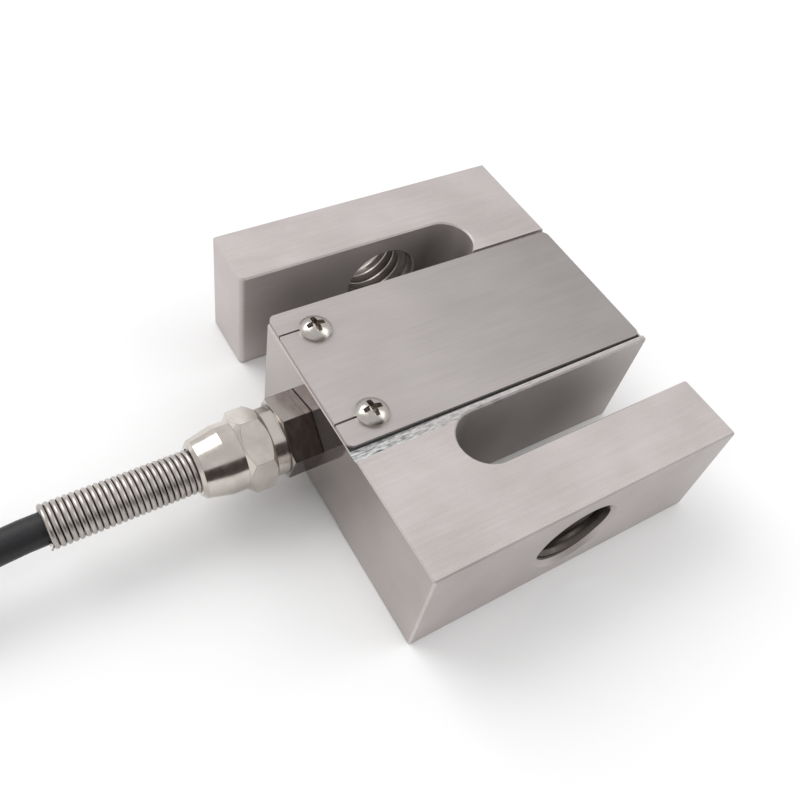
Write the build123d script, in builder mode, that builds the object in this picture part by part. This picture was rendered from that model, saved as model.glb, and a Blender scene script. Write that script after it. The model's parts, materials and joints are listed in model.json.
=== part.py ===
from build123d import *
import math
import os

# S-beam weighing load cell lying flat, in millimetres.
# X runs along the arms and the cable leaves towards -X. Y is the load axis and Z the thickness.
# The origin is the centre of the block's footprint, on its underside.

# Sensing block
cell_length = 50.8
cell_height = 63.5
cell_thickness = 19.05
near_arm = 10.4
near_slot = 8.7
near_slot_depth = 37.2
far_arm = 10.15
far_slot = 8.85
far_slot_depth = 38.0
edge_break = 0.25
far_corner_break = 0.8

# Load threads, M12: the wall is cut at the major diameter
thread_radius = 6.0
mouth_radius = 6.85
slot_mouth_radius = 6.4

# Strain chamber: two bores joined by a window, open to both covers
chamber_radius = 8.0
chamber_offset = 11.0
window_height = 10.0

# Covers, their pockets and their seals
cover_end_gap = 0.3
cover_thickness = 0.5
cover_corner = 1.0
seal_thickness = 0.1
seal_margin = 0.7
seal_bead = 0.25
front_pocket_width = 25.6
front_pocket_shift = 0.94
front_cover_width = 24.5
front_cover_shift = 1.06
front_cover_turn = -0.55
rear_pocket_width = 24.2
rear_cover_width = 23.6
ledge_length = 13.0
ledge_width = 1.25
ledge_depth = 0.5

# Cover screws, M2.5
screw_inset = 5.6
screw_pitch = 16.1
screw_shift = -0.35
screw_radius = 1.25
screw_hole_clearance = 0.15
screw_length = 5.0
screw_hole_depth = 6.0
screw_play = 0.03
pan_head_radius = 2.35
pan_head_height = 1.5
pan_rim_height = 0.45
pan_crown_radius = 3.2
cross_width = 0.85
cross_length = 2.9
cross_depth = 1.1
cross_taper = 14.0
slit_width = 0.3
slit_pitch = 16.6
slit_shift = 0.25

# Cable gland: distances are measured outwards from the block's end face
hex_flats = 10.4
body_hex_length = 4.5
body_hex_turn = -44.0
collar_radius = 5.0
collar_length = 1.9
gland_thread_radius = 4.0
gland_thread_length = 6.0
gland_hole_depth = 9.0
spigot_radius = 4.2
spigot_length = 4.0
seal_pocket_radius = 3.4
seal_pocket_depth = 3.6
clamp_ring_thickness = 0.8
fit_play = 0.05
nut_hex_turn = -26.0
nut_bevel = 0.85
nut_hex_length = 4.2
nut_barrel_length = 2.2
nut_cone_length = 3.5
nut_cone_radius = 4.2
nut_mouth_radius = 3.65
nut_mouth_length = 0.5

# Guard spring
spring_radius = 3.1
wire_diameter = 0.76
spring_pitch = 0.79
spring_length = 19.9
spring_seat_depth = 3.2

# Cable and its cores
cable_diameter = 4.4
core_diameter = 1.1
conductor_diameter = 0.7
core_spread = 0.68
bundle_radius = 1.0
jacket_end_reach = 2.0
exit_depth = 1.5

# Cable put away: coil centre, ring radii and layers
coil_x = -117.0
coil_drift = -4.2
ring_count = 4
layer_count = 3
ring_pitch = 4.5
coil_middle_radius = 22.0
tail_radius = 22.0
tail_sweep = 210.0
core_step = 22.0
core_start_run = 2.0
core_first_fan = 1.6
core_fan = 0.4
bare_length = 6.0

# Parts inside the strain chamber
board_length = 13.0
board_width = 8.0
board_thickness = 1.0
board_pad_thickness = 0.5
gauge_angle = 30.0
gauge_length = 5.0
gauge_thickness = 0.1
gauge_wire_diameter = 0.4
wire_step = 2.0
wire_inset = 0.6
wire_bend = 2.0
resistor_length = 3.0
resistor_width = 1.4
resistor_height = 0.9

# Places worked out from the sizes above
end_x = -cell_length / 2
cover_length = cell_length - 2 * cover_end_gap
near_y = -cell_height / 2
far_y = cell_height / 2
near_slot_y = near_y + near_arm + near_slot / 2
far_slot_y = far_y - far_arm - far_slot / 2
mid_z = cell_thickness / 2
cable_radius = cable_diameter / 2
core_radius = core_diameter / 2
pocket_depth = cover_thickness + seal_thickness
front_floor = cell_thickness - pocket_depth
front_seat = cell_thickness - cover_thickness
screw_x = end_x + screw_inset
hex_corner = hex_flats / math.sqrt(3)
collar_end = body_hex_length + collar_length
spigot_end = collar_end + spigot_length
nut_end = collar_end + nut_hex_length + nut_barrel_length + nut_cone_length + nut_mouth_length
spring_end = nut_end + spring_length
coil_outer_ring = coil_middle_radius + ring_pitch * (ring_count - 1) / 2
coil_y = coil_outer_ring + coil_drift
coil_height = layer_count * cable_diameter

os.makedirs("parts", exist_ok=True)
front_holes = [(screw_x, front_cover_shift + screw_shift + side * screw_pitch / 2) for side in (-1, 1)]


def save(part, name):
    """Label a finished piece and write it as a STEP file."""
    part.label = name
    export_step(part, f"parts/{name}.step")


def outward(distance):
    """A plane across the gland's axis, facing away from the block."""
    return Plane(origin=(end_x - distance, 0, mid_z), x_dir=(0, 1, 0), z_dir=(-1, 0, 0))


def turned(points):
    """A closed profile of (distance outwards, radius) points, turned about the gland's axis."""
    with BuildPart() as ring:
        with BuildSketch(Plane.XZ):
            with BuildLine():
                Polyline([(end_x - out, mid_z + radius) for out, radius in points], close=True)
            make_face()
        revolve(axis=Axis((end_x, 0, mid_z), (-1, 0, 0)))
    return ring.part


def tube(points, radii, diameter):
    """A round tube along straight runs joined by tangent arcs."""
    with BuildPart() as cord:
        with BuildLine() as path:
            FilletPolyline(*points, radius=radii)
        with BuildSketch(Plane(origin=path.line @ 0, z_dir=path.line % 0)):
            Circle(diameter / 2)
        sweep()
    return cord.part


# Sensing block
with BuildPart() as sensor_body:
    with BuildSketch():
        Rectangle(cell_length, cell_height)
        with Locations((-end_x, near_slot_y)):
            SlotOverall(2 * near_slot_depth, near_slot, mode=Mode.SUBTRACT)
        with Locations((end_x, far_slot_y)):
            SlotOverall(2 * far_slot_depth, far_slot, mode=Mode.SUBTRACT)
    extrude(amount=cell_thickness)
    upright = sensor_body.edges().filter_by(Axis.Z)
    cable_end_edges = upright.filter_by_position(Axis.X, end_x, end_x).sort_by(Axis.Y)
    open_end_edges = upright.filter_by_position(Axis.X, -end_x, -end_x)
    slot_corner = cable_end_edges[-2]
    fillet(slot_corner, far_corner_break)
    chamfer(cable_end_edges[:-2] + cable_end_edges[-1:] + open_end_edges, edge_break)
    chamfer(sensor_body.faces().sort_by(Axis.Z)[-1].edges(), edge_break)
    chamfer(sensor_body.faces().sort_by(Axis.Z)[0].edges(), edge_break)
    with BuildSketch(Plane.XY.offset(front_floor)):
        with Locations((0, front_pocket_shift)):
            Rectangle(cell_length, front_pocket_width)
    extrude(amount=pocket_depth, mode=Mode.SUBTRACT)
    with BuildSketch():
        Rectangle(cell_length, rear_pocket_width)
    extrude(amount=pocket_depth, mode=Mode.SUBTRACT)
    # Filed ledge beside the front pocket, which rises away from the cable end
    with BuildSketch(Plane.XZ.offset(front_pocket_width / 2 - front_pocket_shift)):
        with BuildLine():
            Polyline(
                (end_x, cell_thickness),
                (end_x, cell_thickness - ledge_depth),
                (end_x + ledge_length, cell_thickness),
                close=True,
            )
        make_face()
    extrude(amount=ledge_width, mode=Mode.SUBTRACT)
    with BuildSketch():
        with Locations((-chamber_offset, 0), (chamber_offset, 0)):
            Circle(chamber_radius)
        Rectangle(2 * chamber_offset, window_height)
    extrude(amount=cell_thickness, mode=Mode.SUBTRACT)
    # Load threads, each with a 45 degree cone at both mouths
    for arm_y, facing, arm in ((near_y, -1, near_arm), (far_y, 1, far_arm)):
        outer_mouth = Plane(origin=(0, arm_y, mid_z), z_dir=(0, facing, 0))
        slot_mouth = Plane(origin=(0, arm_y - facing * arm, mid_z), z_dir=(0, -facing, 0))
        with Locations(outer_mouth):
            Hole(thread_radius, depth=arm)
        for mouth, radius in ((outer_mouth, mouth_radius), (slot_mouth, slot_mouth_radius)):
            with Locations(mouth):
                Cone(
                    thread_radius,
                    radius,
                    radius - thread_radius,
                    align=(Align.CENTER, Align.CENTER, Align.MAX),
                    mode=Mode.SUBTRACT,
                )
    with Locations(outward(0)):
        Hole(gland_thread_radius + fit_play, depth=gland_hole_depth)
    with Locations([(x, y, front_floor) for x, y in front_holes]):
        Hole(screw_radius, depth=screw_hole_depth)
save(sensor_body.part, "sensor_body")


# Front cover: a thin plate with a slit from its end to each screw hole
cover_plane = Plane.XY.offset(front_seat) * Location((0, front_cover_shift, 0), (0, 0, front_cover_turn))
with BuildPart() as front_cover:
    with BuildSketch(cover_plane):
        RectangleRounded(cover_length, front_cover_width, cover_corner)
    extrude(amount=cover_thickness)
    with Locations([(x, y, cell_thickness) for x, y in front_holes]):
        Hole(screw_radius + screw_hole_clearance)
    with BuildSketch(Plane.XY.offset(front_seat)):
        with Locations((end_x + screw_inset / 2, front_cover_shift + slit_shift)):
            with GridLocations(0, slit_pitch, 1, 2):
                Rectangle(screw_inset, slit_width)
    extrude(amount=cover_thickness, mode=Mode.SUBTRACT)
save(front_cover.part, "front_cover")

with BuildPart() as rear_cover:
    with BuildSketch():
        RectangleRounded(cover_length, rear_cover_width, cover_corner)
    extrude(amount=cover_thickness)
save(rear_cover.part, "rear_cover")


# Seals: films between each cover and its pocket, open over the strain chamber
def seal_film(bottom, middle, turn, width, holes, name):
    """A film of sealant under a cover, squeezed out along its edges, around the chamber's opening."""
    with BuildPart() as film:
        with BuildSketch(Plane.XY.offset(bottom)):
            with Locations(Location((0, middle, 0), (0, 0, turn))):
                Rectangle(cover_length, width + 2 * seal_bead)
            with Locations((end_x, far_slot_y)):
                SlotOverall(2 * far_slot_depth, far_slot, mode=Mode.SUBTRACT)
            with Locations((-chamber_offset, 0), (chamber_offset, 0)):
                Circle(chamber_radius + seal_margin, mode=Mode.SUBTRACT)
            Rectangle(2 * chamber_offset, window_height + 2 * seal_margin, mode=Mode.SUBTRACT)
            for hole in holes:
                with Locations(hole):
                    Circle(screw_radius + screw_hole_clearance, mode=Mode.SUBTRACT)
        extrude(amount=seal_thickness)
    save(film.part, name)


front_seal_place = (front_floor, front_cover_shift, front_cover_turn)
seal_film(*front_seal_place, front_cover_width, front_holes, "front_cover_seal")
seal_film(cover_thickness, 0, 0, rear_cover_width, [], "rear_cover_seal")


# Cover screws
shank_radius = screw_radius - screw_play
for (hole_x, hole_y), side in zip(front_holes, ("near", "far")):
    with BuildPart() as pan_screw:
        with BuildSketch(Plane.XZ.offset(-hole_y)):
            with BuildLine():
                head_foot = (hole_x + pan_head_radius, cell_thickness)
                head_rim = (hole_x + pan_head_radius, cell_thickness + pan_rim_height)
                head_top = (hole_x, cell_thickness + pan_head_height)
                Polyline(
                    head_top,
                    (hole_x, front_floor - screw_length),
                    (hole_x + shank_radius, front_floor - screw_length),
                    (hole_x + shank_radius, cell_thickness),
                    head_foot,
                    head_rim,
                )
                RadiusArc(head_rim, head_top, -pan_crown_radius)
            make_face()
        revolve(axis=Axis((hole_x, hole_y, 0), (0, 0, 1)))
        with BuildSketch(Plane.XY.offset(cell_thickness + pan_head_height)):
            with Locations((hole_x, hole_y)):
                Rectangle(cross_length, cross_width)
                Rectangle(cross_width, cross_length)
        extrude(amount=-cross_depth, taper=cross_taper, mode=Mode.SUBTRACT)
    save(pan_screw.part, f"front_screw_{side}")


# Cable gland
def hexagon(start, length, turn):
    """A hexagonal bar across the gland's axis."""
    with BuildPart() as bar:
        with BuildSketch(outward(start)):
            RegularPolygon(hex_corner, 6, rotation=turn)
        extrude(amount=length)
    return bar.part


bore_radius = cable_radius + 3 * fit_play
pocket_start = spigot_end - seal_pocket_depth
body_round = turned([
    (-gland_thread_length, bore_radius),
    (-gland_thread_length, gland_thread_radius),
    (0, gland_thread_radius),
    (0, collar_radius),
    (collar_end, collar_radius),
    (collar_end, spigot_radius),
    (spigot_end, spigot_radius),
    (spigot_end, seal_pocket_radius),
    (pocket_start, seal_pocket_radius),
    (pocket_start, bore_radius),
])
body_form = turned([
    (0, bore_radius),
    (0, hex_corner),
    (body_hex_length - edge_break, hex_corner),
    (body_hex_length, hex_corner - 2 * edge_break),
    (body_hex_length, bore_radius),
])
with BuildPart() as gland_body:
    add(body_round)
    add(hexagon(0, body_hex_length, body_hex_turn) & body_form)
save(gland_body.part, "gland_body")

bush_end = pocket_start + seal_pocket_depth - fit_play
with BuildPart() as gland_bush:
    add(turned([
        (pocket_start, cable_radius),
        (pocket_start, seal_pocket_radius - fit_play),
        (bush_end, seal_pocket_radius - fit_play),
        (bush_end, cable_radius),
    ]))
save(gland_bush.part, "gland_bush")

ring_end = bush_end + clamp_ring_thickness
with BuildPart() as gland_clamp_ring:
    add(turned([
        (bush_end, bore_radius),
        (bush_end, seal_pocket_radius - fit_play),
        (ring_end, seal_pocket_radius - fit_play),
        (ring_end, bore_radius),
    ]))
save(gland_clamp_ring.part, "gland_clamp_ring")

nut_start = collar_end
bevel_end = nut_start + nut_hex_length
barrel_end = bevel_end + nut_barrel_length
cone_end = barrel_end + nut_cone_length
spring_start = nut_end - spring_seat_depth
nut_wall = spigot_radius + fit_play
nut_inside = [
    (spring_start, spring_radius + fit_play),
    (spring_start, bore_radius),
    (ring_end, bore_radius),
    (ring_end, nut_wall),
    (nut_start, nut_wall),
]
nut_round = turned([
    (nut_start, collar_radius),
    (barrel_end, collar_radius),
    (cone_end, nut_cone_radius),
    (nut_end, nut_mouth_radius),
    (nut_end, spring_radius + fit_play),
] + nut_inside)
nut_form = turned([
    (nut_start, collar_radius),
    (nut_start + nut_bevel, hex_corner),
    (bevel_end - nut_bevel, hex_corner),
    (bevel_end, collar_radius),
    (bevel_end, nut_wall),
    (nut_start, nut_wall),
])
with BuildPart() as gland_nut:
    add(nut_round)
    add(hexagon(nut_start, nut_hex_length, nut_hex_turn) & nut_form)
save(gland_nut.part, "gland_nut")


# Guard spring, closely wound, seated in the nut and ground flat at its mouth
with BuildPart() as guard_spring:
    with BuildLine() as coil_path:
        Helix(
            spring_pitch,
            spring_end - spring_start,
            spring_radius - wire_diameter / 2,
            center=(end_x - spring_start, 0, mid_z),
            direction=(-1, 0, 0),
        )
    with BuildSketch(Plane(origin=coil_path.line @ 0, z_dir=coil_path.line % 0)):
        Circle(wire_diameter / 2)
    sweep(is_frenet=True)
    split(bisect_by=outward(spring_start), keep=Keep.TOP)
    split(bisect_by=outward(spring_end), keep=Keep.BOTTOM)
save(guard_spring.part, "guard_spring")


# Cable: the stretch held by the gland and spring
jacket_end = -chamber_offset - chamber_radius + jacket_end_reach
exit_x = end_x - spring_end + exit_depth
with BuildPart() as cable_inner:
    with BuildSketch(Plane(origin=(jacket_end, 0, mid_z), z_dir=(-1, 0, 0))):
        Circle(cable_radius)
    extrude(amount=jacket_end - exit_x)
save(cable_inner.part, "cable_inner")

# Free lead from the spring's mouth down to the surface and into the coil
lead_points = [
    (exit_x, 0, mid_z),
    (-71.0, 0, mid_z),
    (-83.0, -2.4, 5.0),
    (-92.0, coil_drift, cable_radius),
    (-100.5, coil_drift, cable_radius),
]


def corner_radii(points):
    """The largest arc that each corner's two runs allow."""
    radii = []
    for before, corner, after in zip(points, points[1:], points[2:]):
        run_in = Vector(corner) - Vector(before)
        run_out = Vector(after) - Vector(corner)
        half_turn = math.radians(run_in.get_angle(run_out)) / 2
        radii.append(0.45 * min(run_in.length, run_out.length) / math.tan(half_turn))
    return radii


lead_radii = corner_radii(lead_points)
print("lead radii", [round(radius, 1) for radius in lead_radii])
cable_lead = tube(lead_points, lead_radii, cable_diameter)
save(cable_lead, "cable_lead")

# Coil: the outer shape of the wound turns, with the turn that meets the lead
with BuildPart() as cable_coil:
    with BuildSketch():
        with Locations((coil_x, coil_y)):
            Circle(coil_outer_ring + cable_radius)
            Circle(coil_outer_ring - ring_pitch * (ring_count - 1) - cable_radius, mode=Mode.SUBTRACT)
    extrude(amount=coil_height)
    with BuildSketch(Plane(origin=lead_points[-1], z_dir=(-1, 0, 0))):
        Circle(cable_radius)
    extrude(amount=lead_points[-1][0] - coil_x)
save(cable_coil.part, "cable_coil")

# Tail: the last part turn, on top of the coil
tail_z = coil_height + cable_radius
with BuildPart() as cable_tail:
    with BuildLine() as tail_path:
        CenterArc((coil_x, coil_y, tail_z), tail_radius, -90, tail_sweep)
    with BuildSketch(Plane(origin=tail_path.line @ 0, z_dir=tail_path.line % 0)):
        Circle(cable_radius)
    sweep()
save(cable_tail.part, "cable_tail")

# Flying leads: cores fanned out from the end of the jacket along the coil's top
core_z = coil_height + core_radius
core_names = ("shield_core", "white_core", "green_core", "black_core", "red_core")
bundle_angles = (180, 252, 108, 324, 36)
bare_ends = []
for place, (name, bundle_angle) in enumerate(zip(core_names, bundle_angles)):
    fan = place - (len(core_names) - 1) / 2
    start_y = coil_y - tail_radius + bundle_radius * math.cos(math.radians(bundle_angle))
    start_z = tail_z + bundle_radius * math.sin(math.radians(bundle_angle))
    core_points = [(coil_x, start_y, start_z), (coil_x - core_start_run, start_y, start_z)]
    for step, lift in ((1, 0.5), (2, 0), (3, 0), (4, 0)):
        turn = math.radians(-90 - core_step * step)
        reach = tail_radius - fan * (core_first_fan + core_fan * step)
        core_points.append((
            coil_x + reach * math.cos(turn),
            coil_y + reach * math.sin(turn),
            core_z + lift * (start_z - core_z),
        ))
    save(tube(core_points, corner_radii(core_points), core_diameter), name)
    bare_start = Vector(core_points[-1])
    bare_run = (bare_start - Vector(core_points[-2])).normalized()
    bare_ends.append(Plane(origin=bare_start, z_dir=bare_run))

with BuildPart() as bare_conductors:
    with BuildSketch(*bare_ends):
        Circle(conductor_diameter / 2)
    extrude(amount=bare_length)
save(bare_conductors.part, "bare_conductors")


# Inside the strain chamber: terminal board on a pad, two resistors, gauges and wires
board_z = cover_thickness + board_pad_thickness
board_top = board_z + board_thickness
with BuildPart() as board_pad:
    with BuildSketch(Plane.XY.offset(cover_thickness)):
        Rectangle(board_length - 2 * seal_margin, board_width - 2 * seal_margin)
    extrude(amount=board_pad_thickness)
save(board_pad.part, "board_pad")

with BuildPart() as terminal_board:
    with BuildSketch(Plane.XY.offset(board_z)):
        RectangleRounded(board_length, board_width, seal_margin)
    extrude(amount=board_thickness)
save(terminal_board.part, "terminal_board")

for side, name in ((-1, "resistor_near"), (1, "resistor_far")):
    with BuildPart() as resistor:
        with BuildSketch(Plane.XY.offset(board_top)):
            with Locations((board_length / 4, side * board_width / 4)):
                Rectangle(resistor_length, resistor_width)
        extrude(amount=resistor_height)
    save(resistor.part, name)

gauge_width = 2 * chamber_radius * math.sin(math.radians(gauge_angle / 2))
wire_radius = gauge_wire_diameter / 2
wire_end_x = board_length / 2 - wire_inset
wire_end_y = board_width / 2 - wire_inset
for end, end_name in ((-1, "left"), (1, "right")):
    for side, side_name in ((-1, "near"), (1, "far")):
        gauge_x = end * chamber_offset
        with BuildPart() as gauge:
            with BuildSketch(Plane.XY.offset(mid_z - gauge_length / 2)):
                with Locations((gauge_x, 0)):
                    Circle(chamber_radius)
                    Circle(chamber_radius - gauge_thickness, mode=Mode.SUBTRACT)
                with Locations((gauge_x, side * chamber_radius)):
                    Rectangle(gauge_width, chamber_radius, mode=Mode.INTERSECT)
            extrude(amount=gauge_length)
        save(gauge.part, f"gauge_{end_name}_{side_name}")
        wire_points = [
            (gauge_x, side * (chamber_radius - gauge_thickness - wire_radius), mid_z - gauge_length / 2),
            (gauge_x - end * wire_step, side * (chamber_radius - wire_step), mid_z / 2),
            (end * wire_end_x, side * wire_end_y, board_top + wire_radius),
        ]
        save(tube(wire_points, [wire_bend], gauge_wire_diameter), f"gauge_wire_{end_name}_{side_name}")

# Cores from the end of the jacket down to the board: the upper pair lands outside the lower pair
inner_cores = (
    ("red_core_inner", 1, 1, 2.0, 1.85, -4.5),
    ("white_core_inner", -1, 1, 2.0, 1.85, -4.5),
    ("black_core_inner", 1, -1, 1.2, 0.62, -5.9),
    ("green_core_inner", -1, -1, 1.2, 0.62, -5.9),
)
for name, side, level, first_run, landing_y, landing_x in inner_cores:
    start_y = side * core_spread
    start_z = mid_z + level * core_spread
    inner_points = [
        (jacket_end, start_y, start_z),
        (jacket_end + first_run, start_y, start_z),
        (landing_x, side * landing_y, board_top + core_radius),
    ]
    save(tube(inner_points, [core_diameter], core_diameter), name)
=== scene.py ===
import json
import math

import bmesh
import bpy
from mathutils import Matrix, Vector


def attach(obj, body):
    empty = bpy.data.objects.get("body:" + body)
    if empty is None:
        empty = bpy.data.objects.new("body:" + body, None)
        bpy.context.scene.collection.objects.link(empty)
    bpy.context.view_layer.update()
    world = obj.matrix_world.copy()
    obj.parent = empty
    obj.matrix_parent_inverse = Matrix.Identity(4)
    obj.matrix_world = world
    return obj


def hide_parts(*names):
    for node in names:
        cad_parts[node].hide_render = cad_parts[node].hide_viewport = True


# S-beam load cell lying on a white surface, seen from above its near left corner. Metres.
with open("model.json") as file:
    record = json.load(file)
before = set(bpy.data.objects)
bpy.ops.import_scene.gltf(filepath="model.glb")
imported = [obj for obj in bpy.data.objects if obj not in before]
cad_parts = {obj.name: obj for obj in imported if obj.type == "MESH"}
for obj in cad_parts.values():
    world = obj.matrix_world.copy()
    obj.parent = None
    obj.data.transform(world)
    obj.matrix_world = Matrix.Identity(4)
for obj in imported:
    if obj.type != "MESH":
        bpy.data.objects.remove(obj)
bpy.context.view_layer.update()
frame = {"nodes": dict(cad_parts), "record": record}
MM = 0.001

scene = bpy.context.scene
scene.view_settings.view_transform = "Standard"

# Camera, fitted to the block's corners in the photograph
CAMERA_PLACE = Vector((-0.062707, -0.058954, 0.107078))
CAMERA_RIGHT = Vector((0.857117, -0.498136, 0.131192))
CAMERA_UP = Vector((0.329272, 0.725670, 0.604138))
LENS = 37.685
SHIFT = (0.0305, 0.0012)
SENSOR_WIDTH = 36.0
NEAREST_SEEN = 0.005

# Sizes shared with the CAD model, in metres
MID_Z = 9.525 * MM
CABLE_RADIUS = 2.2 * MM
COIL_CENTRE = Vector((-117.0 * MM, 24.55 * MM))
RINGS = [28.75 * MM, 24.25 * MM, 19.75 * MM, 15.25 * MM]
LAYER = 4.4 * MM
TAIL_RING = 22.0 * MM
THREAD_MAJOR = 6.02 * MM
THREAD_DEPTH = 0.95 * MM
THREAD_PITCH = 1.75 * MM

# Half widths of a thread ridge, in pitches, at its foot and at its crest
RIDGE_FOOT = 0.48
RIDGE_CREST = 0.07

# Places on the part, in millimetres
CELL_SIDES = ((-25.4, 25.4), (-31.75, 31.75), (0.0, 19.05))
END_X = CELL_SIDES[0][0]
BORE_RADIUS = 6.15
ARM_FACE_Y = 21.0
FAR_HALF_Y = (0.0, 32.0)
FRONT_WALLS_Y = (-32.0, 12.0)
GLOSSY_END_Y = (-32.0, 12.8)
LEDGE_Y = (-13.2, -11.0)
LEDGE_Z = (18.2, 19.06)
HEXAGON_LENGTH = 4.4
HEXAGON_FRONT = (0.0, -0.995, 0.105)
JOINT_WIDTH = 0.14
LEAD_POINTS = [
    (-60.6, 0.0, 9.525),
    (-71.0, 0.0, 9.525),
    (-83.0, -2.4, 5.0),
    (-92.0, -4.2, 2.2),
    (-100.5, -4.2, 2.2),
]

# The coil's turns: degrees between points, and where a turn steps aside or up
COIL_LAYERS = 3
POINT_STEP = 24
STEP_SPAN = 60
ASIDE_FROM = 30
UP_FROM = 90
LAST_ASIDE_FROM = 150
TAIL_POINTS = 15

# Finish and stage
WORLD_COLOUR = (0.76, 0.76, 0.76)
SMOOTH_ANGLE = math.radians(32)
THREAD_SMOOTH_ANGLE = math.radians(25)
FLOOR_REACH = 3.0
FLOOR_DROP = 0.02 * MM
CONTACT_DISTANCE = 9 * MM


def add_camera():
    back = CAMERA_RIGHT.cross(CAMERA_UP)
    turn = Matrix((CAMERA_RIGHT, CAMERA_UP, back)).transposed().to_4x4()
    data = bpy.data.cameras.new("camera")
    camera = bpy.data.objects.new("camera", data)
    scene.collection.objects.link(camera)
    camera.matrix_world = Matrix.Translation(CAMERA_PLACE) @ turn
    data.lens = LENS
    data.sensor_width = SENSOR_WIDTH
    data.clip_start = NEAREST_SEEN
    data.shift_x, data.shift_y = SHIFT
    scene.camera = camera


add_camera()


# Material kit
class Nodes:
    """A short way to write a material's node tree."""

    def __init__(self, name):
        self.material = bpy.data.materials.new(name)
        self.material.use_nodes = True
        self.tree = self.material.node_tree
        self.shader = self.tree.nodes["Principled BSDF"]

    def add(self, kind, **values):
        node = self.tree.nodes.new(kind)
        for key, value in values.items():
            if key in node.inputs:
                node.inputs[key].default_value = value
            else:
                setattr(node, key, value)
        return node

    def link(self, out, into):
        self.tree.links.new(out, into)

    def place(self, scale=(1, 1, 1), rotation=(0, 0, 0)):
        """Object coordinates in millimetres, stretched by scale."""
        coords = self.add("ShaderNodeTexCoord")
        mapping = self.add("ShaderNodeMapping")
        mapping.inputs["Scale"].default_value = [1000 * s for s in scale]
        mapping.inputs["Rotation"].default_value = rotation
        self.link(coords.outputs["Object"], mapping.inputs["Vector"])
        return mapping.outputs["Vector"]

    def place_along(self, axis):
        """0 at the cell's low side and 1 at its high side along an axis."""
        split = self.add("ShaderNodeSeparateXYZ")
        self.link(self.place(), split.inputs[0])
        size = self.add("ShaderNodeMapRange")
        low, high = CELL_SIDES[axis]
        size.inputs["From Min"].default_value = low
        size.inputs["From Max"].default_value = high
        self.link(split.outputs[axis], size.inputs["Value"])
        return size.outputs["Result"]

    def noise(self, where, scale, detail, roughness=0.5):
        node = self.add("ShaderNodeTexNoise", Scale=scale, Detail=detail, Roughness=roughness)
        self.link(where, node.inputs["Vector"])
        return node.outputs["Fac"]

    def ramp(self, value, stops):
        """Stops of (position, colour or grey level)."""
        node = self.add("ShaderNodeValToRGB")
        elements = node.color_ramp.elements
        while len(elements) < len(stops):
            elements.new(0.5)
        for element, (position, colour) in zip(elements, stops):
            element.position = position
            rgb = (colour,) * 3 if isinstance(colour, float) else colour
            element.color = (*rgb, 1.0)
        self.link(value, node.inputs["Fac"])
        return node.outputs["Color"]

    def math(self, operation, a, b=None):
        node = self.add("ShaderNodeMath", operation=operation)
        for socket, value in zip(node.inputs, (a, b)):
            if isinstance(value, (int, float)):
                socket.default_value = value
            elif value is not None:
                self.link(value, socket)
        return node.outputs[0]

    def mix(self, factor, a, b, blend="MIX"):
        node = self.add("ShaderNodeMix", data_type="RGBA", blend_type=blend)
        for socket, value in zip((node.inputs[0], node.inputs[6], node.inputs[7]), (factor, a, b)):
            if isinstance(value, (int, float)):
                socket.default_value = value
            elif isinstance(value, tuple):
                socket.default_value = (*value, 1.0)
            else:
                self.link(value, socket)
        return node.outputs[2]

    def bump(self, *layers):
        """Stack bumps, each (height, strength, distance in mm)."""
        last = None
        for height, strength, distance in layers:
            node = self.add("ShaderNodeBump", Strength=strength, Distance=distance * MM)
            self.link(height, node.inputs["Height"])
            if last:
                self.link(last, node.inputs["Normal"])
            last = node.outputs["Normal"]
        self.link(last, self.shader.inputs["Normal"])

    def wire(self, **sockets):
        for name, value in sockets.items():
            socket = self.shader.inputs[name.replace("_", " ")]
            if isinstance(value, (int, float, tuple)):
                socket.default_value = value
            else:
                self.link(value, socket)
        return self.material


def edge_mask(nodes, radius, power):
    """1 along sharp edges, 0 on open faces."""
    bevel = nodes.add("ShaderNodeBevel", samples=4, Radius=radius * MM)
    geometry = nodes.add("ShaderNodeNewGeometry")
    dot = nodes.add("ShaderNodeVectorMath", operation="DOT_PRODUCT")
    nodes.link(bevel.outputs["Normal"], dot.inputs[0])
    nodes.link(geometry.outputs["Normal"], dot.inputs[1])
    away = nodes.math("SUBTRACT", 1.0, dot.outputs["Value"])
    return nodes.math("MULTIPLY", away, power)


def cavity(nodes, distance):
    """1 on open faces, falling towards 0 inside slots and holes."""
    node = nodes.add(
        "ShaderNodeAmbientOcclusion", samples=6, only_local=True, Distance=distance * MM
    )
    return node.outputs["AO"]


def bore_mask(nodes):
    """1 on the walls of the load threads."""
    split = nodes.add("ShaderNodeSeparateXYZ")
    nodes.link(nodes.place(), split.inputs[0])
    x, y, z = split.outputs
    z = nodes.math("SUBTRACT", z, MID_Z / MM)
    square = nodes.math("ADD", nodes.math("MULTIPLY", x, x), nodes.math("MULTIPLY", z, z))
    inside = nodes.math("LESS_THAN", nodes.math("SQRT", square), BORE_RADIUS)
    in_arm = nodes.math("GREATER_THAN", nodes.math("ABSOLUTE", y), ARM_FACE_Y)
    return nodes.math("MULTIPLY", inside, in_arm)


def facing(nodes, axis, sign):
    """1 on faces whose normal points along an axis of the row frame."""
    split = nodes.add("ShaderNodeSeparateXYZ")
    nodes.link(nodes.add("ShaderNodeNewGeometry").outputs["Normal"], split.inputs[0])
    return nodes.math("GREATER_THAN", nodes.math("MULTIPLY", split.outputs[axis], sign), 0.9)


def between(nodes, axis, low, high):
    """1 between two places along an axis, in millimetres."""
    split = nodes.add("ShaderNodeSeparateXYZ")
    nodes.link(nodes.place(), split.inputs[0])
    above = nodes.math("GREATER_THAN", split.outputs[axis], low)
    below = nodes.math("LESS_THAN", split.outputs[axis], high)
    return nodes.math("MULTIPLY", above, below)


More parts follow.
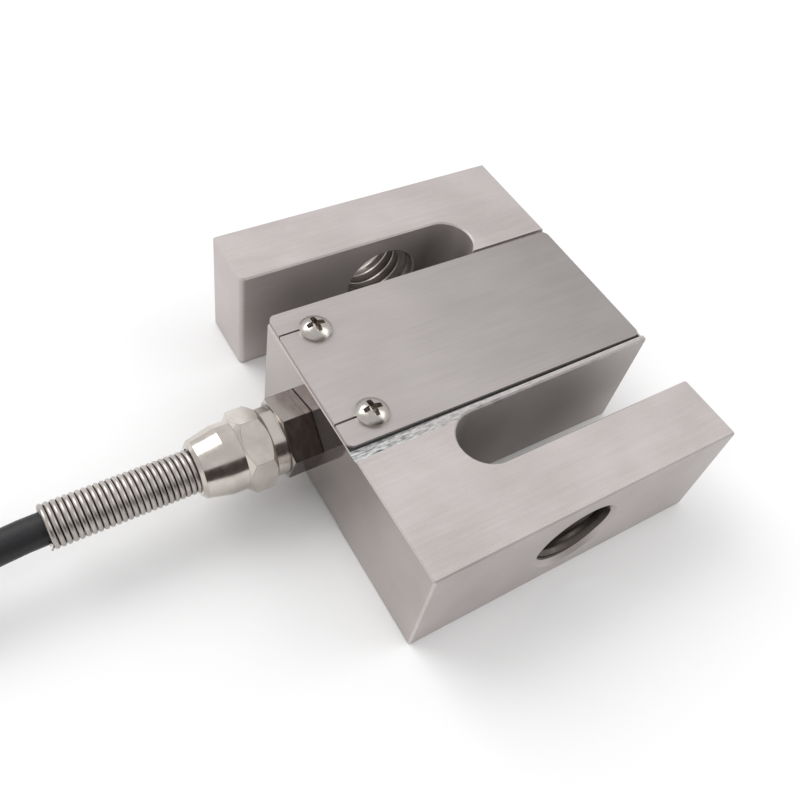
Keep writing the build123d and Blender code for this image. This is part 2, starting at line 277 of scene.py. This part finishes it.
def plated_steel():
    """Satin nickel over milled and sanded faces, with the near end ground glossy."""
    nodes = Nodes("cell_plating")
    streaks = nodes.noise(nodes.place((0.12, 2.6, 2.6)), 1.0, 6.0, 0.62)
    cross = nodes.noise(nodes.place((3.0, 0.35, 3.0)), 1.0, 5.0, 0.6)
    clouds = nodes.noise(nodes.place((0.09, 0.09, 0.09)), 1.0, 3.0, 0.5)
    grain = nodes.noise(nodes.place(), 7.0, 3.0, 0.6)
    stains = nodes.noise(nodes.place((0.3, 0.3, 0.2)), 1.0, 5.0, 0.65)
    base = nodes.ramp(clouds, [(0.3, (0.520, 0.470, 0.458)), (0.7, (0.600, 0.550, 0.538))])
    mottle = [(0.3, 0.42), (0.7, 0.58)]
    streaked = nodes.mix(0.35, base, nodes.ramp(streaks, mottle), "OVERLAY")
    grained = nodes.mix(0.3, streaked, nodes.ramp(grain, mottle), "OVERLAY")
    stain_mask = nodes.ramp(stains, [(0.63, 0.0), (0.72, 0.35)])
    stained = nodes.mix(stain_mask, grained, (0.49, 0.45, 0.43))
    # Painted shade: faces darken towards a dark colour in slots and holes, by ambient occlusion
    openness = nodes.ramp(cavity(nodes, 14), [(0.1, 0.0), (0.85, 1.0)])
    colour = nodes.mix(openness, (0.160, 0.145, 0.137), stained)

    # Painted shade: walls that face the front, and the glossy near end, are darkened by multiplying their
    # colour
    front = nodes.math("MULTIPLY", facing(nodes, 1, -1), between(nodes, 1, *FRONT_WALLS_Y))
    colour = nodes.mix(nodes.math("MULTIPLY", front, 0.28), colour, (0.5, 0.49, 0.48), "MULTIPLY")
    glossy_end = nodes.math("MULTIPLY", facing(nodes, 0, -1), between(nodes, 1, *GLOSSY_END_Y))
    painted_end_shade = nodes.math("MULTIPLY", glossy_end, 0.42)
    colour = nodes.mix(painted_end_shade, colour, (0.5, 0.47, 0.44), "MULTIPLY")

    # Bores: painted shade on their walls, darker in the near arm
    wall = nodes.mix(between(nodes, 1, *FAR_HALF_Y), (0.075, 0.062, 0.055), (0.190, 0.168, 0.155))
    colour = nodes.mix(bore_mask(nodes), colour, wall)

    # File marks on the ledge, strongest at the near end
    in_ledge = nodes.math("MULTIPLY", between(nodes, 1, *LEDGE_Y), between(nodes, 2, *LEDGE_Z))
    near_end = nodes.ramp(nodes.place_along(0), [(0.08, 0.95), (0.30, 0.5), (0.65, 0.22)])
    filing = nodes.noise(nodes.place((0.7, 3.4, 1.0), (0, 0, -0.75)), 1.0, 6.0, 0.7)
    filed = nodes.ramp(filing, [(0.37, 0.08), (0.50, 0.44), (0.68, 0.80)])
    colour = nodes.mix(nodes.math("MULTIPLY", in_ledge, near_end), colour, filed)

    # Painted highlight: sharp edges are lightened
    colour = nodes.mix(edge_mask(nodes, 0.3, 1.4), colour, (0.86, 0.85, 0.84))
    rough = nodes.ramp(nodes.mix(0.5, streaks, grain), [(0.3, 0.38), (0.7, 0.52)])
    rough = nodes.mix(glossy_end, rough, nodes.ramp(grain, [(0.3, 0.07), (0.7, 0.12)]))
    nodes.bump((streaks, 0.25, 0.02), (cross, 0.12, 0.02), (grain, 0.2, 0.008))
    metal = nodes.mix(glossy_end, (0.55, 0.55, 0.55), (0.88, 0.88, 0.88))
    return nodes.wire(Base_Color=colour, Roughness=rough, Metallic=metal)


def cover_metal():
    """Rolled sheet with a fine lengthwise grain, and painted shade that darkens it towards its far end."""
    nodes = Nodes("cover_plate")
    grain = nodes.noise(nodes.place((0.08, 5.0, 5.0)), 1.0, 6.0, 0.65)
    clouds = nodes.noise(nodes.place((0.07, 0.12, 0.1)), 1.0, 3.0)
    fine = nodes.noise(nodes.place(), 9.0, 2.0)
    base = nodes.ramp(clouds, [(0.3, (0.422, 0.388, 0.380)), (0.7, (0.477, 0.441, 0.432))])
    # Painted shade: darker towards the far end
    painted_falloff = nodes.ramp(nodes.place_along(0), [(0.0, 0.54), (0.35, 0.52), (1.0, 0.40)])
    base = nodes.mix(1.0, base, painted_falloff, "OVERLAY")
    colour = nodes.mix(0.3, base, nodes.ramp(grain, [(0.3, 0.42), (0.7, 0.60)]), "OVERLAY")
    rough = nodes.ramp(grain, [(0.3, 0.34), (0.7, 0.46)])
    nodes.bump((grain, 0.25, 0.012), (fine, 0.12, 0.006))
    return nodes.wire(Base_Color=colour, Roughness=rough, Metallic=0.6)


def bright_nickel(
    name, colour, roughness, stretch=(1, 1, 1), recess=None, painted_shade=(0.075, 0.06, 0.05), edges=None
):
    """Plated or drawn metal. Its dark colour paints shade into recesses up to recess millimetres across,
    and paints dark shade lines along edges up to edges millimetres wide.
    """
    nodes = Nodes(name)
    marks = nodes.noise(nodes.place(stretch), 1.6, 5.0, 0.6)
    tint = nodes.noise(nodes.place((0.35, 0.35, 0.35)), 1.0, 3.0)
    darker = tuple(0.84 * c for c in colour)
    base = nodes.ramp(tint, [(0.35, darker), (0.65, colour)])
    if recess:
        # Painted shade in recesses, by ambient occlusion
        openness = nodes.ramp(cavity(nodes, recess), [(0.2, 0.0), (0.75, 1.0)])
        base = nodes.mix(openness, painted_shade, base)
    if edges:
        # Painted shade: dark lines along edges
        base = nodes.mix(edge_mask(nodes, edges, 5.0), base, painted_shade)
    rough = nodes.ramp(marks, [(0.35, roughness[0]), (0.7, roughness[1])])
    nodes.bump((marks, 0.15, 0.01))
    return nodes.wire(Base_Color=base, Roughness=rough, Metallic=1.0)


def shaded_hexagon():
    """Nickel of the gland's body, darker on the hexagon, with a painted dark reflection on the hexagon's
    front facets, painted shade along edges and in recesses, and dark where it meets the block.
    """
    nodes = Nodes("gland_painted_shade")
    marks = nodes.noise(nodes.place((1.0, 0.3, 0.3)), 1.6, 5.0, 0.6)
    specks = nodes.noise(nodes.place(), 2.2, 4.0, 0.7)
    turned = nodes.add("ShaderNodeVectorMath", operation="DOT_PRODUCT")
    nodes.link(nodes.add("ShaderNodeNewGeometry").outputs["Normal"], turned.inputs[0])
    turned.inputs[1].default_value = HEXAGON_FRONT
    on_hexagon = between(nodes, 0, END_X - HEXAGON_LENGTH, END_X)
    # Painted reflection: facets turned to the front of the hexagon go dark brown
    painted_dark_front = nodes.ramp(turned.outputs["Value"], [(0.4, 0.0), (0.77, 0.43), (0.92, 1.0)])
    bright = nodes.mix(on_hexagon, (0.64, 0.59, 0.545), (0.45, 0.40, 0.375))
    painted_dark = nodes.ramp(
        specks, [(0.3, (0.072, 0.046, 0.040)), (0.64, (0.105, 0.070, 0.062)), (0.69, (0.25, 0.20, 0.18))]
    )
    base = nodes.mix(nodes.math("MULTIPLY", on_hexagon, painted_dark_front), bright, painted_dark)
    # Painted shade: dark lines along edges
    base = nodes.mix(edge_mask(nodes, 0.14, 5.0), base, (0.06, 0.045, 0.04))
    joint = between(nodes, 0, END_X - JOINT_WIDTH, END_X + 0.01)
    base = nodes.mix(nodes.math("MULTIPLY", joint, 0.9), base, (0.02, 0.016, 0.014))
    # Painted shade in recesses, by ambient occlusion
    openness = nodes.ramp(cavity(nodes, 1.4), [(0.3, 0.0), (0.85, 1.0)])
    nodes.bump((marks, 0.15, 0.01))
    return nodes.wire(
        Base_Color=nodes.mix(openness, (0.06, 0.045, 0.04), base),
        Roughness=nodes.ramp(marks, [(0.35, 0.14), (0.7, 0.26)]),
        Metallic=1.0,
    )


def dull_solid(name, dark, light, roughness, bump=0.02, scale=1.2):
    """Rubber, plastic or sealant: a mottled colour, uneven gloss and a fine skin."""
    nodes = Nodes(name)
    patches = nodes.noise(nodes.place(), scale, 5.0, 0.6)
    skin = nodes.noise(nodes.place(), 6.0 * scale, 3.0, 0.6)
    colour = nodes.ramp(patches, [(0.3, dark), (0.7, light)])
    rough = nodes.ramp(skin, [(0.3, roughness[0]), (0.7, roughness[1])])
    nodes.bump((patches, 0.3, bump), (skin, 0.3, bump / 2))
    return nodes.wire(Base_Color=colour, Roughness=rough)


MATERIALS = {
    "cell_plating": plated_steel(),
    "cover_plate": cover_metal(),
    # Painted shade: the near arm's thread is a darker copy of the far arm's, and both darken in their
    # grooves
    "thread_wall": bright_nickel("thread_wall", (0.17, 0.15, 0.135), (0.42, 0.58), recess=3.0),
    "thread_wall_far": bright_nickel(
        "thread_wall_far", (0.42, 0.385, 0.365), (0.38, 0.52), recess=3.0, painted_shade=(0.16, 0.14, 0.13)
    ),
    "gland_painted_shade": shaded_hexagon(),
    "sealant": dull_solid("sealant", (0.012, 0.012, 0.013), (0.035, 0.034, 0.034), (0.6, 0.85), 0.06, 1.6),
    "screw_plating": bright_nickel(
        "screw_plating", (0.57, 0.535, 0.50), (0.20, 0.32), recess=0.35, painted_shade=(0.30, 0.27, 0.24)
    ),
    "gland_nickel": bright_nickel(
        "gland_nickel", (0.68, 0.63, 0.58), (0.14, 0.26), (1.0, 0.3, 0.3), recess=1.4, edges=0.14
    ),
    "spring_wire": bright_nickel("spring_wire", (0.56, 0.52, 0.49), (0.32, 0.44), recess=0.5),
    "cable_jacket": dull_solid(
        "cable_jacket", (0.006, 0.0065, 0.008), (0.013, 0.0135, 0.016), (0.5, 0.64), 0.02, 2.2
    ),
    "core_yellow": dull_solid("core_yellow", (0.62, 0.44, 0.03), (0.74, 0.54, 0.05), (0.28, 0.4), 0.006),
    "core_white": dull_solid("core_white", (0.70, 0.70, 0.68), (0.80, 0.80, 0.78), (0.28, 0.4), 0.006),
    "core_green": dull_solid("core_green", (0.03, 0.24, 0.07), (0.05, 0.32, 0.10), (0.28, 0.4), 0.006),
    "core_black": dull_solid("core_black", (0.015, 0.015, 0.017), (0.03, 0.03, 0.033), (0.28, 0.4), 0.006),
    "core_red": dull_solid("core_red", (0.44, 0.02, 0.02), (0.58, 0.035, 0.03), (0.28, 0.4), 0.006),
    "tinned_wire": bright_nickel("tinned_wire", (0.68, 0.67, 0.65), (0.25, 0.4)),
    "bush_rubber": dull_solid("bush_rubber", (0.015, 0.015, 0.015), (0.03, 0.03, 0.03), (0.6, 0.8)),
    "clamp_plastic": dull_solid("clamp_plastic", (0.03, 0.03, 0.033), (0.05, 0.05, 0.055), (0.4, 0.55)),
    "board_laminate": dull_solid("board_laminate", (0.02, 0.16, 0.06), (0.04, 0.24, 0.10), (0.3, 0.45)),
    "foam_pad": dull_solid("foam_pad", (0.62, 0.61, 0.57), (0.75, 0.74, 0.70), (0.8, 0.95), 0.05, 2.0),
    "resistor_body": dull_solid("resistor_body", (0.03, 0.03, 0.03), (0.05, 0.05, 0.05), (0.4, 0.6)),
    "gauge_film": dull_solid("gauge_film", (0.50, 0.29, 0.08), (0.64, 0.40, 0.13), (0.2, 0.35)),
    "enamel_wire": bright_nickel("enamel_wire", (0.60, 0.28, 0.12), (0.2, 0.35)),
}

for part in frame["record"]["subparts"]:
    node = frame["nodes"][part["node"]]
    node.data.materials.clear()
    finish = "gland_painted_shade" if part["node"] == "gland_body" else part["material_slot"]
    node.data.materials.append(MATERIALS[finish])


def smooth(obj, angle):
    obj.data.polygons.foreach_set("use_smooth", [True] * len(obj.data.polygons))
    with bpy.context.temp_override(object=obj, selected_editable_objects=[obj], active_object=obj):
        bpy.ops.object.shade_smooth_by_angle(angle=angle)


def piece(name, mesh, finish):
    obj = bpy.data.objects.new(name, mesh)
    scene.collection.objects.link(obj)
    obj.data.materials.append(MATERIALS[finish])
    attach(obj, "root")
    return obj


# Cable
def ring_point(angle, radius, height):
    """Angles in degrees, falling from -90 at the point where the lead meets the coil."""
    turn = math.radians(angle)
    return (COIL_CENTRE.x + radius * math.cos(turn), COIL_CENTRE.y + radius * math.sin(turn), height)


def portion(angle, start):
    """How much of a step that starts at an angle is done, from 0 to 1."""
    return min(max((angle - start) / STEP_SPAN, 0.0), 1.0)


def coil_points():
    """Control points of the turns: rings in, out and in again, one layer on another."""
    places = []
    for layer in range(COIL_LAYERS):
        rings = RINGS if layer % 2 == 0 else RINGS[::-1]
        places += [(radius, CABLE_RADIUS + layer * LAYER) for radius in rings]
    places.append((TAIL_RING, CABLE_RADIUS + COIL_LAYERS * LAYER))
    points = []
    last_turn = len(places) - 2
    for turn, (radius, height) in enumerate(places[:-1]):
        next_radius, next_height = places[turn + 1]
        climbs = next_height > height
        for angle in range(0, 360, POINT_STEP):
            aside = portion(angle, LAST_ASIDE_FROM if turn == last_turn else ASIDE_FROM)
            rise = portion(angle, UP_FROM) if climbs else 0.0
            r = radius + (next_radius - radius) * aside
            z = height + (next_height - height) * rise
            points.append(ring_point(-90 - turn * 360 - angle, r, z))
    return points


def cable_points():
    """The lead from the spring, the turns, and the last turn on top of them."""
    lead = [tuple(MM * c for c in point) for point in LEAD_POINTS]
    top = CABLE_RADIUS + COIL_LAYERS * LAYER
    tail = [ring_point(-90 - index * POINT_STEP, TAIL_RING, top) for index in range(TAIL_POINTS)]
    return lead + coil_points() + tail


def add_cable():
    curve = bpy.data.curves.new("signal_cable", "CURVE")
    curve.dimensions = "3D"
    points = cable_points()
    spline = curve.splines.new("NURBS")
    spline.points.add(len(points) - 1)
    for point, place in zip(spline.points, points):
        point.co = (*place, 1.0)
    spline.order_u = 3
    spline.use_endpoint_u = True
    spline.resolution_u = 5
    curve.bevel_depth = CABLE_RADIUS
    curve.bevel_resolution = 4
    curve.use_fill_caps = True
    obj = bpy.data.objects.new("signal_cable", curve)
    scene.collection.objects.link(obj)
    curve.materials.append(MATERIALS["cable_jacket"])
    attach(obj, "root")
    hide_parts("cable_lead", "cable_coil", "cable_tail")
    return obj


cable = add_cable()


# Threads
def thread(name, start_y, length, finish, turn_steps=48):
    """The crests of an inside thread: a V-section ridge wound along a bore's wall."""
    start = Vector((0, start_y, MID_Z))
    axis = Vector((0, 1, 0))
    side = axis.orthogonal().normalized()
    other = axis.cross(side)
    count = int(length / THREAD_PITCH * turn_steps)
    mesh = bmesh.new()
    rows = []
    for index in range(count + 1):
        angle = 2 * math.pi * index / turn_steps
        crest = THREAD_DEPTH * min(1.0, index / turn_steps, (count - index) / turn_steps)
        middle = THREAD_PITCH * index / turn_steps
        outward = side * math.cos(angle) + other * math.sin(angle)
        section = ((-RIDGE_FOOT, 0.0), (-RIDGE_CREST, crest), (RIDGE_CREST, crest), (RIDGE_FOOT, 0.0))
        rows.append([
            mesh.verts.new(
                start + axis * (middle + offset * THREAD_PITCH) + outward * (THREAD_MAJOR - height)
            )
            for offset, height in section
        ])
    for row, following in zip(rows, rows[1:]):
        for a, b, c, d in zip(row, row[1:], following[1:], following):
            mesh.faces.new((a, b, c, d))
    data = bpy.data.meshes.new(name)
    mesh.to_mesh(data)
    mesh.free()
    smooth(piece(name, data, finish), THREAD_SMOOTH_ANGLE)


thread("near_arm_thread", -30.6 * MM, 8.7 * MM, "thread_wall")
thread("far_arm_thread", 22.4 * MM, 8.2 * MM, "thread_wall_far")


# Floor and light
def plane(name, corners, material):
    """A four-cornered stage plane."""
    mesh = bpy.data.meshes.new(name)
    mesh.from_pydata(corners, [], [(0, 1, 2, 3)])
    obj = bpy.data.objects.new(name, mesh)
    obj.data.materials.append(material)
    scene.collection.objects.link(obj)
    return obj


def add_floor():
    nodes = Nodes("floor")
    tone = nodes.noise(nodes.place((0.01, 0.01, 0.01)), 1.0, 2.0)
    pale = nodes.ramp(tone, [(0.3, (0.93, 0.93, 0.93)), (0.7, (0.95, 0.95, 0.95))])
    # Painted shadow: the floor darkens near the part, by ambient occlusion
    painted_shade = nodes.add("ShaderNodeAmbientOcclusion", samples=6, Distance=CONTACT_DISTANCE)
    open_floor = nodes.ramp(painted_shade.outputs["AO"], [(0.05, 0.0), (0.45, 1.0)])
    nodes.wire(Base_Color=nodes.mix(open_floor, (0.30, 0.30, 0.30), pale), Roughness=0.7)
    reach = FLOOR_REACH
    corners = [(-reach, -reach, 0), (reach, -reach, 0), (reach, reach, 0), (-reach, reach, 0)]
    floor = plane("floor", corners, nodes.material)
    floor.location.z = -FLOOR_DROP


def area_light(name, place, size, power):
    """A square lamp that faces the part."""
    data = bpy.data.lights.new(name, "AREA")
    data.shape = "RECTANGLE"
    data.size = data.size_y = size
    data.energy = power
    light = bpy.data.objects.new(name, data)
    scene.collection.objects.link(light)
    light.location = place
    light.rotation_euler = (-Vector(place)).to_track_quat("-Z", "Y").to_euler()


def add_world():
    world = bpy.data.worlds.new("world")
    scene.world = world
    world.use_nodes = True
    background = world.node_tree.nodes["Background"]
    background.inputs["Color"].default_value = (*WORLD_COLOUR, 1.0)
    background.inputs["Strength"].default_value = 1.0


def add_card(name, y, low_x, high_x, top):
    """A dark upright card in front of the part. Only its reflection in the metal counts."""
    nodes = Nodes(name)
    tone = nodes.noise(nodes.place((0.01, 0.01, 0.01)), 1.0, 2.0)
    colour = nodes.ramp(tone, [(0.3, (0.035, 0.026, 0.022)), (0.7, (0.05, 0.037, 0.032))])
    nodes.wire(Base_Color=colour, Roughness=0.8)
    corners = [(low_x, y, 0), (high_x, y, 0), (high_x, y, top), (low_x, y, top)]
    card = plane(name, corners, nodes.material)
    card.visible_camera = False
    card.visible_diffuse = False
    card.visible_shadow = False


add_floor()
add_world()
add_card("dark_card", y=-0.35, low_x=-0.40, high_x=0.30, top=0.33)
area_light("key", (-0.25, 0.45, 0.6), size=0.5, power=2.6)
area_light("fill", (0.5, -0.2, 0.5), size=0.4, power=0.8)

for node in frame["nodes"].values():
    smooth(node, SMOOTH_ANGLE)
